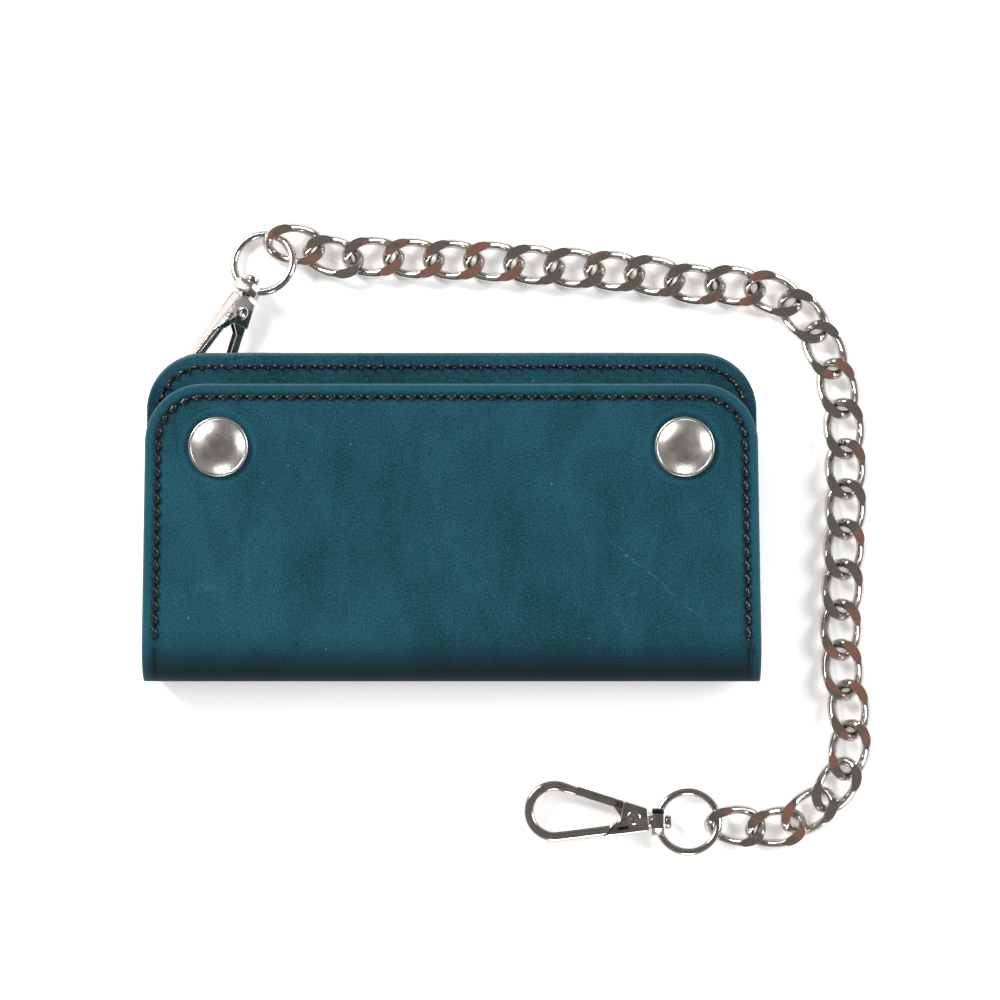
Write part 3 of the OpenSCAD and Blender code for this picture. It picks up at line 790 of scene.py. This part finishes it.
EYE = np.array([32.2, 3.4])
EYE_R, BAR_W, BAR_DEPTH = 9.6, 3.2, 5.0
GATE_SLOPE, SPINE_SLOPE = np.radians(17.5), np.radians(7)
PIVOT, GATE_TIP, GATE_W, GATE_DEPTH, SHEET = np.array([7.6, 1.4]), 24.9, 2.8, 3.0, 0.6
SLOT_DEPTH = GATE_DEPTH + 0.2
GATE_WAY = np.array([np.cos(GATE_SLOPE), np.sin(GATE_SLOPE)])
GATE_IN = GATE_W * np.array([np.sin(GATE_SLOPE), -np.cos(GATE_SLOPE)])
LOW_TANGENT = EYE - EYE_R * np.array([np.sin(SPINE_SLOPE), np.cos(SPINE_SLOPE)])
TOP_TANGENT = EYE + EYE_R * np.array([-np.sin(GATE_SLOPE), np.cos(GATE_SLOPE)])


def on_gate(x):
    """The point of the gate's outer line at x."""
    return np.array([x, TOP_TANGENT[1] - (TOP_TANGENT[0] - x) * np.tan(GATE_SLOPE)])


def on_spine(x):
    """The point of the spine's outer line at x."""
    return np.array([x, LOW_TANGENT[1] + (LOW_TANGENT[0] - x) * np.tan(SPINE_SLOPE)])


def flat_path(*stretches):
    """A path in the hook's plane, as points in space."""
    path = np.vstack(stretches)
    return np.column_stack([path, np.zeros(len(path))])


def hook_bar():
    """A rounded bar carried up the spine, round the eye and down to the nose."""
    mid = EYE_R - BAR_W / 2
    inner = BAR_W / 2 * np.array([np.sin(SPINE_SLOPE), np.cos(SPINE_SLOPE)])
    spine = np.linspace(on_spine(9) + inner, on_spine(LOW_TANGENT[0]) + inner, 14)[:-1]
    a = np.linspace(-np.pi / 2 - SPINE_SLOPE, np.pi / 2 + GATE_SLOPE, 56)
    eye = EYE + mid * np.stack([np.cos(a), np.sin(a)], -1)
    reach = (eye[-1][0] - GATE_TIP - 0.35) / np.cos(GATE_SLOPE)
    nose = eye[-1] - GATE_WAY * np.linspace(0, reach, 8)[1:, None]
    path = flat_path(spine, eye, nose)
    half = np.array([BAR_DEPTH, BAR_W]) / 2
    section = rounded([half, half * [-1, 1], -half, half * [1, -1]], [1.25, 1.25, 0.9, 0.9], 9)
    size = 1 - 0.14 * ease(np.arange(len(path)), len(path) - 7, len(path) - 1)
    return carried(path, section * size[:, None, None], Z_AXIS)


def hook_block(shell):
    """The body: two cheeks with the gate's slot between them, on a core that the spine grows from."""
    corners = [on_spine(2.7), [3.2, 4.2], [10.8, 6.6], [11.6, 0.8], [14.6, -0.9], on_spine(17)]
    cheek = rounded(corners, [0.7, 0.7, 0.5, 2.0, 2.0, 0.1])
    core = rounded([on_spine(2.8) + [0, 0.06], [3.3, 4.1], [4.3, 4.4], [4.4, -1.7], [13.2, -1.8],
                    [14.9, -1.2], on_spine(16.8) + [0, 0.06]], [0.6, 0.5, 0.05, 0.5, 0.5, 0.3, 0.1])
    shell.add(plate(cheek, SLOT_DEPTH / 2, BAR_DEPTH / 2, 0.32), wrap_cols=True)
    shell.add(plate(cheek, -BAR_DEPTH / 2, -SLOT_DEPTH / 2, 0.32), wrap_cols=True)
    shell.add(plate(core, -SLOT_DEPTH / 2 - 0.05, SLOT_DEPTH / 2 + 0.05, 0.05), wrap_cols=True)


def hook_stem():
    """The swivel's post, turned: a collar at the body, a neck and a button head past the barrel."""
    return along_x(turned([(0, 3.3), (2.1, 3.3), (2.4, 3.0), (2.4, 2.4), (2.2, 2.1), (1.75, 2.05),
                           (1.68, 1.9), (1.68, -2.3), (1.9, -2.35), (2.25, -2.5), (2.35, -2.8),
                           (2.35, -3.5), (2.2, -3.95), (1.8, -4.2), (0.7, -4.25), (0, -4.2)], 40))


def gate_channel():
    """The gate: sheet folded to a channel, carried from the slot to the nose."""
    w, d, s = GATE_DEPTH / 2, GATE_W, SHEET
    section = rounded([(-w, d), (-w, 0), (w, 0), (w, d),
                       (w - s, d), (w - s, s), (s - w, s), (s - w, d)],
                      [0.25, 0.7, 0.7, 0.25, 0.25, 0.3, 0.3, 0.25], 6)
    t = np.linspace(0, 1, 24)[:, None]
    path = flat_path(on_gate(10.2) * (1 - t) + on_gate(GATE_TIP) * t)
    return carried(path, section, Z_AXIS)


def gate_ears(shell):
    """The gate's two ears round the pin."""
    ear = rounded([PIVOT + [-2.6, -2.5], PIVOT + [2.2, -2.4], on_gate(13) + GATE_IN * 0.98,
                   on_gate(13) + GATE_IN * 0.1, on_gate(10.4) + GATE_IN * 0.1, PIVOT + [-2.6, 2.4]],
                  [2.3, 1.2, 0.2, 0.2, 0.6, 2.3])
    for side in (-1, 1):
        low, high = sorted((side * (GATE_DEPTH / 2 - SHEET), side * GATE_DEPTH / 2))
        shell.add(plate(ear, low, high, 0.15), wrap_cols=True)


def pin_shape():
    """The gate's pin, turned: a rivet with two low heads, each dimpled by its punch."""
    z = BAR_DEPTH / 2
    head = [(0, z + 0.12), (0.55, z + 0.16), (0.95, z + 0.36), (1.35, z + 0.46), (1.8, z + 0.42),
            (2.08, z + 0.25), (2.1, z - 0.02), (1.1, z - 0.02)]
    return turned(head + [(r, -h) for r, h in head[::-1]], 40)


RING_R, RING_WIRE, BARREL_LEN, BORE = 9.4, 1.3, 3.9, 1.75


def ring_wire():
    """A round wire carried round the ring, from one wall of the barrel to the other."""
    gap = np.arcsin(2.6 / RING_R)
    a = np.linspace(gap, TAU - gap, 97)
    path = np.stack([RING_R * np.cos(a) - RING_R, RING_R * np.sin(a), 0 * a], -1)
    return carried(path, round_wire(RING_WIRE), Z_AXIS)


def barrel():
    """The swivel barrel: an eight-sided tube with broken edges and a round bore."""
    outline = rounded([(-4.2, -1.6), (-2.2, -3.2), (2.2, -3.2), (4.2, -1.6), (4.2, 1.6), (2.2, 3.2),
                       (-2.2, 3.2), (-4.2, 1.6)], 0.35, 5)
    normal, round_bore = inward(outline), unit(outline) * BORE
    end, soft = BARREL_LEN / 2, 0.35
    rows = [(-end, outline + normal * soft), (-end + 0.1, outline + normal * 0.1),
            (-end + soft, outline), (end - soft, outline), (end - 0.1, outline + normal * 0.1),
            (end, outline + normal * soft), (end, round_bore * 1.1), (end - 0.15, round_bore),
            (-end + 0.15, round_bore), (-end, round_bore * 1.1)]
    return np.stack([np.column_stack([np.full(len(p), x), p]) for x, p in rows + rows[:1]])


LINK_A, LINK_B, LINK_H, LINK_R, LINK_FLAT = 8.3, 5.2, 2.1, 1.55, 2.5


def link_shape():
    """A curb link and where it is filed flat.

    Its centreline is an oval that rises and falls twice, once for each quarter's twist. A round wire
    follows it, and what stands above or below the filed height is cut off level. Rows of points keep
    to the cut's two edges all the way round.
    """
    t = np.linspace(0, TAU, 96, endpoint=False)
    c = np.stack([LINK_A * np.cos(t), LINK_B * np.sin(t), -LINK_H * np.sin(2 * t)], -1)
    along = unit(np.stack([-LINK_A * np.sin(t), LINK_B * np.cos(t), -2 * LINK_H * np.cos(2 * t)], -1))
    up = unit(Z_AXIS - along * along[:, 2:])
    side = np.cross(along, up)
    reach = LINK_R * up[:, 2]
    level = [np.clip((LINK_FLAT - s * c[:, 2]) / reach, 0.2, 0.93) for s in (1, -1)]
    half_cut = [np.pi / 2 - np.arcsin(sine) for sine in level]
    near = np.radians(3.5)
    rows = []
    for s, cut in zip((1, -1), half_cut):
        offsets = [-cut - near, -cut, -cut + near, -cut / 3, cut / 3, cut - near, cut, cut + near]
        rows += [s * np.pi / 2 + o for o in offsets]
    a_top, a_low = rows[7], rows[8] + TAU
    b_top, b_low = rows[15] + TAU, rows[0] + TAU
    b = rows[:8] + [a_top + (a_low - a_top) * k / 5 for k in range(1, 5)]
    b += [r + TAU for r in rows[8:]] + [b_top + (b_low - b_top) * k / 5 for k in range(1, 5)]
    b = np.stack(b, 1)[..., None]
    points = c[:, None] + LINK_R * (np.cos(b) * side[:, None] + np.sin(b) * up[:, None])
    filed = ease(np.abs(points[..., 2]), LINK_FLAT - 0.02, LINK_FLAT + 0.03)
    points[..., 2] = np.clip(points[..., 2], -LINK_FLAT, LINK_FLAT)
    return points, filed


def tube_piece(name, where, grids, material, body, *nodes, slot="bright_nickel", crease=38):
    """A metal piece made of grids that close round themselves, riding on its body."""
    shell = Shell()
    for points in grids:
        shell.add(points, wrap_cols=True)
    piece = shell.build(name, where, [material], crease)
    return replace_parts(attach(piece, body), *nodes)


def closed_tube(path, section, side):
    """A section carried round a path that closes on itself."""
    whole = np.vstack([path[-1:], path, path[:1]])
    return carried(whole, section, side)[1:-1]


D_R, D_LEG, D_WIRE, D_DROP = 8.0, 3.7, 1.25, np.radians(26)
TAB_W, TAB_T, TAB_LEN, TAB_RIVET = 9.6, 1.2, 22.0, 16.0
TAB_LOOP = D_WIRE + 0.15 + TAB_T


def d_shape():
    """A round wire bent to a D: a straight bar, two short legs and half a circle."""
    corners = [(-D_R, 0), (D_R, 0), (D_R, D_LEG + D_R), (-D_R, D_LEG + D_R)]
    path = rounded(corners, [1.2, 1.2, D_R - 0.01, D_R - 0.01], 24)
    path = np.column_stack([path, np.zeros(len(path))])
    return closed_tube(path, round_wire(D_WIRE), Z_AXIS)


def tab_shape():
    """The tab: a strap that leaves the panel, goes round the bar and comes back under itself."""
    r = TAB_LOOP - TAB_T / 2
    a = np.linspace(np.pi / 2, -np.pi / 2, 28)
    turn = np.stack([r * np.cos(a), r * np.sin(a)], 1)
    y = np.linspace(-TAB_LEN, -0.5, 16)
    upper = np.stack([y, 0 * y + r], 1)
    y = -np.linspace(0.5, TAB_LEN + 0.4, 24)
    lower = np.stack([y, -r + (2 * r - TAB_T) * ease(-y, 0, 9)], 1)
    path = np.vstack([upper, turn, lower])
    w, t = TAB_W / 2, TAB_T / 2
    section = rounded([(w, t), (-w, t), (-w, -t), (w, -t)], 0.35, 5)
    return carried(np.column_stack([np.zeros(len(path)), path]), section, X_AXIS)


def tab_rivet_shape():
    """The tab's rivet, turned: a low dome with a rolled rim over its post."""
    top = TAB_T * 2 + 0.82
    return turned([(0, top), (1.6, top - 0.03), (2.7, top - 0.18), (3.3, top - 0.42), (3.5, top - 0.62),
                   (3.45, TAB_T * 2 + 0.02), (1.5, TAB_T * 2 - 0.02), (1.5, -2.2), (0, -2.2)], 48)


def cap_shape(look):
    """A snap's cap, turned: a dome, a fine groove and a rolled rim."""
    r, h = look.cap_d / MM / 2, look.cap_h / MM
    a = np.linspace(0, 1, 14)
    dome = [(q * (r - 1.05), 1.25 + (h - 1.25) * (1 - q**3)) for q in a]
    b = np.radians(np.linspace(140, -60, 10))
    rim = [(r - 0.62 + 0.62 * np.cos(t), 0.72 + 0.66 * np.sin(t)) for t in b]
    return turned(dome + [(r - 1.03, 1.08)] + rim + [(r - 0.5, 0.0), (0, 0)], 72)


def new_finish(node, material):
    """Gives a CAD node that stays its material."""
    for place_for in frame["nodes"][node].material_slots:
        place_for.material = material


# ---- sizes and colours ----
def length(name, description, default):
    """A size property, in metres."""
    return bpy.props.FloatProperty(name=name, description=description, default=default,
                                   unit="LENGTH", precision=4, min=0)


def tint(name, description, default):
    """A colour property."""
    return bpy.props.FloatVectorProperty(name=name, description=description, default=default,
                                         subtype="COLOR", min=0, max=1)


class WalletLeather(bpy.types.PropertyGroup):
    """The leather, its seam and the thread."""

    top_w: length("Top width", "Width where the round corners start", 0.188)
    corner_r: length("Corner radius", "Radius of the top corners", 0.018)
    cover_t: length("Cover", "Thickness of the cover's leather", 0.002)
    lining_t: length("Lining", "Thickness of the lining's leather", 0.0012)
    seam_inset: length("Seam inset", "Distance of the seam from the edge", 0.004)
    stitch_pitch: length("Stitch", "Length of one stitch and its gap", 0.0041)
    thread_w: length("Thread", "Width of the thread", 0.0015)
    stitch_slant: bpy.props.FloatProperty(
        name="Slant", description="How far each stitch turns from the seam", default=0.15, subtype="ANGLE")
    cap_d: length("Cap diameter", "Diameter of each snap's cap", 0.0186)
    cap_h: length("Cap height", "Height of each snap's cap", 0.0032)
    cap_x: length("Cap side", "Distance of each cap from the wallet's middle", 0.0715)
    cap_y: length("Cap up", "Distance of each cap from the fold's centre", 0.062)
    # How strong the painted shade at the fold is, where the leather curves away from the light.
    fold_shade_strength: bpy.props.FloatProperty(name="Dark fold", description="How dark the fold has become",
                                       default=0.95, min=0, max=1, subtype="FACTOR")
    scratch_at: bpy.props.FloatProperty(
        name="Scratch", description="Where the long scratch lies", default=0.0701, unit="LENGTH")
    deep: tint("Deep", "The leather's deepest colour", (0.0058, 0.0370, 0.0540))
    light: tint("Light", "The leather's palest colour", (0.0115, 0.0650, 0.0930))
    raw: tint("Cut edge", "The cut edge's colour", (0.070, 0.120, 0.135))
    thread: tint("Thread", "The thread's colour", (0.006, 0.008, 0.011))
    nickel: tint("Nickel", "The metal's colour", (0.56, 0.53, 0.50))


def look_of(context):
    """The scene's sizes and colours."""
    return context.scene.wallet_leather


def cap_v(look):
    """How far a cap is from the fold's middle, over the leather."""
    return np.pi / 2 * FOLD_R * MM + look.cap_y


class WALLET_OT_cover(bpy.types.Operator):
    """Makes the cover's two panels and the fold between them"""

    bl_idname = "wallet.cover"
    bl_label = "Cover"

    def execute(self, context):
        """Makes the pieces."""
        look = look_of(context)
        layer = Layer(look, 0, look.cover_t / MM, 0, 0.45, 0.32)
        leather_layer("cover", layer, [cover_leather(look), raw_edge(look)])
        return {"FINISHED"}


class WALLET_OT_lining(bpy.types.Operator):
    """Makes the lining's two panels and the fold between them"""

    bl_idname = "wallet.lining"
    bl_label = "Lining"

    def execute(self, context):
        """Makes the pieces."""
        look = look_of(context)
        layer = Layer(look, look.cover_t / MM + 0.02, look.lining_t / MM - 0.02, 0.4, 0.25, 0)
        hide = plain_leather("lining_leather", look, 0.95)
        leather_layer("lining", layer, [hide, hide])
        return {"FINISHED"}


class WALLET_OT_stitching(bpy.types.Operator):
    """Makes the stitches on both faces of both panels, and the thread's cut end"""

    bl_idname = "wallet.stitching"
    bl_label = "Stitching"

    def execute(self, context):
        """Makes the pieces."""
        look = look_of(context)
        thread = waxed_thread(look)
        inner = FOLD_R - (look.cover_t + look.lining_t) / MM
        panels = (("back", BACK, BACK_LEN, -1), ("front", FRONT, FRONT_LEN, 1))
        for name, where, size, side in panels:
            shell = Shell()
            stitch_row(shell, size, look, side, side * FOLD_R)
            if name == "front":
                thread_tail(shell, look)
            inside = Shell()
            stitch_row(inside, size, look, -side, side * inner)
            for part, made in (("outer", shell), ("inner", inside)):
                piece = made.build(f"stitches_{name}_{part}", where, [thread], 50)
                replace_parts(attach(piece, f"{name}_panel"), f"stitching_{name}")
        return {"FINISHED"}


class WALLET_OT_snaps(bpy.types.Operator):
    """Makes the two snap caps, and finishes their sockets, studs and posts"""

    bl_idname = "wallet.snaps"
    bl_label = "Snaps"

    def execute(self, context):
        """Makes the pieces."""
        look = look_of(context)
        satin = satin_nickel(look)
        shell = Shell()
        for side in (-1, 1):
            at = np.array([side * look.cap_x, look.cap_y, FOLD_R * MM]) / MM
            shell.add(cap_shape(look) + at, wrap_cols=True)
        piece = shell.build("snap_caps_domed", FRONT, [satin], 40)
        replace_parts(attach(piece, "front_panel"), "snap_caps")
        for node in ("snap_sockets", "snap_studs", "snap_posts"):
            new_finish(node, satin)
        return {"FINISHED"}


class WALLET_OT_inside(bpy.types.Operator):
    """Finishes the divider, the card slots and the zipped pocket"""

    bl_idname = "wallet.inside"
    bl_label = "Inside"

    def execute(self, context):
        """Makes the pieces."""
        look = look_of(context)
        hide, brass = plain_leather("pocket_leather", look, 0.5), brass_teeth()
        for node in ("bill_divider", "card_slots", "zip_pocket"):
            new_finish(node, hide)
        new_finish("zip_tape", zip_cloth())
        for node in ("zip_teeth", "zip_slider", "zip_pull"):
            new_finish(node, brass)
        return {"FINISHED"}


class WALLET_OT_tab(bpy.types.Operator):
    """Makes the tab, its rivet and the D-ring that it holds"""

    bl_idname = "wallet.tab"
    bl_label = "Tab and D-ring"

    def execute(self, context):
        """Makes the pieces."""
        look = look_of(context)
        bar = local(np.array(JOINTS["d_ring_swing"]["pos_m"]) / MM, BACK)
        centre = frame_of(X_AXIS, BACK[:, 1], BACK[:, 2], place(bar, BACK))
        shell = Shell().add(tab_shape(), wrap_cols=True)
        piece = shell.build("tab_strap", centre, [plain_leather("tab_leather", look, 0.9)])
        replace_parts(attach(piece, "back_panel"), "ring_tab")
        c, s = np.cos(D_DROP), np.sin(D_DROP)
        way = BACK[:, 1] * c - BACK[:, 2] * s
        ring = Shell().add(d_shape(), wrap_rows=True, wrap_cols=True)
        nickel = plated("tab_nickel", look, 0.10)
        hang = frame_of(X_AXIS, way, np.cross(X_AXIS, way), centre[:, 3])
        piece = ring.build("d_ring_wire", hang, [nickel])
        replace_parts(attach(piece, "d_ring"), "d_ring")
        at = place(bar + [0, -TAB_RIVET, TAB_LOOP], BACK)
        under = frame_of(X_AXIS, -BACK[:, 1], -BACK[:, 2], at)
        tube_piece("tab_rivet_head", under, [tab_rivet_shape()], satin_nickel(look), "back_panel",
                   "tab_rivet", slot="satin_nickel")
        return {"FINISHED"}


class WALLET_OT_hooks(bpy.types.Operator):
    """Makes both swivel snap hooks: body, bar, stem, gate and pin"""

    bl_idname = "wallet.hooks"
    bl_label = "Hooks"

    def execute(self, context):
        """Makes the pieces."""
        look = look_of(context)
        nickel, steel = plated("hook_nickel", look, 0.09), plated("spring_steel", look, 0.3)
        for k in (1, 2):
            where = hook_place(k)
            body = Shell().add(hook_bar(), wrap_cols=True).add(hook_stem(), wrap_cols=True)
            hook_block(body)
            piece = body.build(f"hook_{k}_casting", where, [nickel], 32)
            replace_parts(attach(piece, f"hook_{k}"), f"hook_{k}_body")
            gate = Shell().add(gate_channel(), wrap_cols=True)
            gate_ears(gate)
            piece = gate.build(f"hook_{k}_channel", where, [nickel], 32)
            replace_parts(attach(piece, f"gate_{k}"), f"hook_{k}_gate")
            pin = pin_shape() + np.append(PIVOT, 0)
            tube_piece(f"hook_{k}_rivet", where, [pin], nickel, f"hook_{k}", f"hook_{k}_pin")
            new_finish(f"hook_{k}_spring", steel)
        return {"FINISHED"}


class WALLET_OT_rings(bpy.types.Operator):
    """Makes both swivel rings, each one casting with its barrel"""

    bl_idname = "wallet.rings"
    bl_label = "Rings"

    def execute(self, context):
        """Makes the pieces."""
        look = look_of(context)
        nickel = plated("ring_nickel", look, 0.09)
        for k in (1, 2):
            tube_piece(f"ring_{k}_casting", ring_place(k), [ring_wire(), barrel()], nickel,
                       f"swivel_ring_{k}", f"ring_{k}")
        return {"FINISHED"}


class WALLET_OT_chain(bpy.types.Operator):
    """Makes the curb chain, link by link"""

    bl_idname = "wallet.chain"
    bl_label = "Chain"

    def execute(self, context):
        """Makes the pieces."""
        look = look_of(context)
        nickel = plated("link_nickel", look, 0.10, filed=True)
        points, filed = link_shape()
        for name in sorted(n for n in frame["nodes"] if n.startswith("link_")):
            shell = Shell().add(points, wrap_rows=True, wrap_cols=True, filed=filed)
            piece = shell.build(f"{name}_curb", main_axes(node_points(name)), [nickel], 30)
            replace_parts(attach(piece, name), name)
        return {"FINISHED"}


# each light's name, place in metres, width, power and colour
LIGHTS = (
    ("key", (-1.4, 1.2, 1.2), 0.9, 66, (1.0, 0.98, 0.95)),
    ("fill", (1.5, 0.3, 1.1), 0.8, 23, (0.95, 0.98, 1.0)),
    ("low", (0.1, -1.6, 1.0), 0.7, 13, (1.0, 0.97, 0.95)),
)
FLOOR_HALF, FLOOR_DROP = 4.0, 0.0002
LENS, SENSOR, CAMERA_HEIGHT = 176.0, 36.0, 1.5236
CAMERA_FROM_HINGE = np.array([14.88, 56.12])


def lay_floor(scene):
    """A pale paper floor just under the model, which glows a little so that shadows stay light."""
    material, tree, shader = new_material("floor_paper", Roughness=0.9, Specular_IOR_Level=0.1,
                                          Emission_Color=(1, 1, 1, 1), Emission_Strength=0.3)
    paper = grain(tree, object_coords(tree), 4, 2)
    shade = blend(tree, paper, (0.955, 0.955, 0.955, 1), (0.97, 0.97, 0.97, 1))
    join(tree, shader, Base_Color=shade)
    corners = FLOOR_HALF * np.array([(-1, -1, 0), (1, -1, 0), (1, 1, 0), (-1, 1, 0)])
    corners[:, 2] = CAD_BOX[0][2] - FLOOR_DROP
    mesh = bpy.data.meshes.new("floor")
    mesh.from_pydata(corners.tolist(), [], [(0, 1, 2, 3)])
    mesh.materials.append(material)
    floor = bpy.data.objects.new("floor", mesh)
    scene.collection.objects.link(floor)


def hang_lights(scene):
    """Round lights that face the origin."""
    for name, at, width, power, colour in LIGHTS:
        data = bpy.data.lights.new(name, "AREA")
        data.shape, data.size, data.energy, data.color = "DISK", width, power, colour
        lamp = bpy.data.objects.new(name, data)
        lamp.location = at
        lamp.rotation_euler = (-Vector(at)).to_track_quat("-Z", "Y").to_euler()
        scene.collection.objects.link(lamp)


def studio_sky(scene):
    """A world that is bright low down and dim overhead, in patches that the metal shows."""
    scene.world = bpy.data.worlds.new("studio")
    scene.world.use_nodes = True
    tree = scene.world.node_tree
    back = tree.nodes["Background"]
    way = add(tree, "TexCoord").outputs["Generated"]
    up = add(tree, "SeparateXYZ", {0: way}).outputs[2]
    patch = fade(tree, grain(tree, way, 6, 1), 0.44, 0.58)
    ceiling = blend(tree, patch, (0.26, 0.27, 0.26, 1), (0.62, 0.56, 0.52, 1))
    shade = blend(tree, fade(tree, up, 0.35, 0.85), (1.0, 1.0, 1.0, 1), ceiling)
    tree.links.new(shade, back.inputs[0])
    back.inputs[1].default_value = 0.42


class WALLET_OT_stage(bpy.types.Operator):
    """Makes the floor, the lights, the world and the camera"""

    bl_idname = "wallet.stage"
    bl_label = "Stage"

    def execute(self, context):
        """Makes the studio, with the camera looking straight down."""
        scene = context.scene
        lay_floor(scene)
        hang_lights(scene)
        studio_sky(scene)
        data = bpy.data.cameras.new("camera")
        data.lens, data.sensor_width = LENS, SENSOR
        camera = bpy.data.objects.new("camera", data)
        camera.location = (*((HINGE[:2] + CAMERA_FROM_HINGE) * MM).tolist(), CAMERA_HEIGHT)
        scene.collection.objects.link(camera)
        scene.camera = camera
        scene.view_settings.view_transform = "Standard"
        return {"FINISHED"}


MAKERS = (WALLET_OT_cover, WALLET_OT_lining, WALLET_OT_stitching, WALLET_OT_snaps, WALLET_OT_inside,
          WALLET_OT_tab, WALLET_OT_hooks, WALLET_OT_rings, WALLET_OT_chain, WALLET_OT_stage)


class WALLET_PT_sidebar(bpy.types.Panel):
    """The wallet's sizes, colours and makers"""

    bl_idname = "WALLET_PT_sidebar"
    bl_label = "Chain wallet"
    bl_space_type = "VIEW_3D"
    bl_region_type = "UI"
    bl_category = "Wallet"

    def draw(self, context):
        """Lists the sizes and colours, then the makers."""
        for name in WalletLeather.__annotations__:
            self.layout.prop(look_of(context), name)
        for maker in MAKERS:
            self.layout.operator(maker.bl_idname)


CLASSES = (WalletLeather, *MAKERS, WALLET_PT_sidebar)


def register():
    """Registers the classes, and gives the scene its sizes and colours."""
    for kind in CLASSES:
        bpy.utils.register_class(kind)
    bpy.types.Scene.wallet_leather = bpy.props.PointerProperty(type=WalletLeather)


def unregister():
    """Takes the classes and the scene's sizes and colours away."""
    del bpy.types.Scene.wallet_leather
    for kind in reversed(CLASSES):
        bpy.utils.unregister_class(kind)


def main():
    """Builds every piece and the stage."""
    register()
    for maker in MAKERS:
        group, name = maker.bl_idname.split(".")
        getattr(getattr(bpy.ops, group), name)()


if __name__ == "__main__":
    main()
